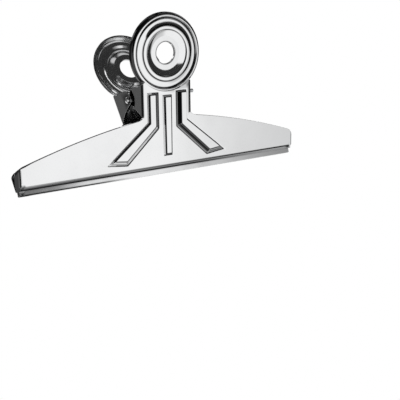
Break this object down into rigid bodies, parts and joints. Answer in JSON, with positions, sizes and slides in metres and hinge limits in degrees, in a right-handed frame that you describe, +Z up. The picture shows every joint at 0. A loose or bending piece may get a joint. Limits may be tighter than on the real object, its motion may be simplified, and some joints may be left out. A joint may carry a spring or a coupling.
{
  "type": "paper clip",
  "caption": "Wide sprung paper clip: arched plates with stepped lips, ribbed necks and round holed thumb discs, hinged on a headed pin with a torsion spring that presses the jaw shut.",
  "frame": {"origin": "middle of the closed clip's footprint, on the plane under its two lips", "axes": "+X along the jaw, +Y from the front leaf towards the back leaf, +Z up from the lips to the thumb discs"},
  "size_m": [0.125, 0.0398, 0.059],
  "materials": {
    "leaf_chrome": "polished nickel-chrome plate on stamped steel",
    "pin_chrome": "polished plate",
    "spring_steel": "bright drawn spring wire"
  },
  "bodies": {
    "back_part": {"back_leaf": "leaf_chrome", "hinge_pin": "pin_chrome", "torsion_spring": "spring_steel"},
    "front_part": {"front_leaf": "leaf_chrome"}
  },
  "joints": [
    {"name": "jaw_hinge", "type": "hinge", "parent": "back_part", "child": "front_part", "pos_m": [0, 0, 0.02995], "axis": [-1, 0, 0], "range_deg": [0, 60], "stiffness_Nm_per_rad": 0.5, "springref_deg": -34.38, "deforming": ["torsion_spring"]}
  ]
}
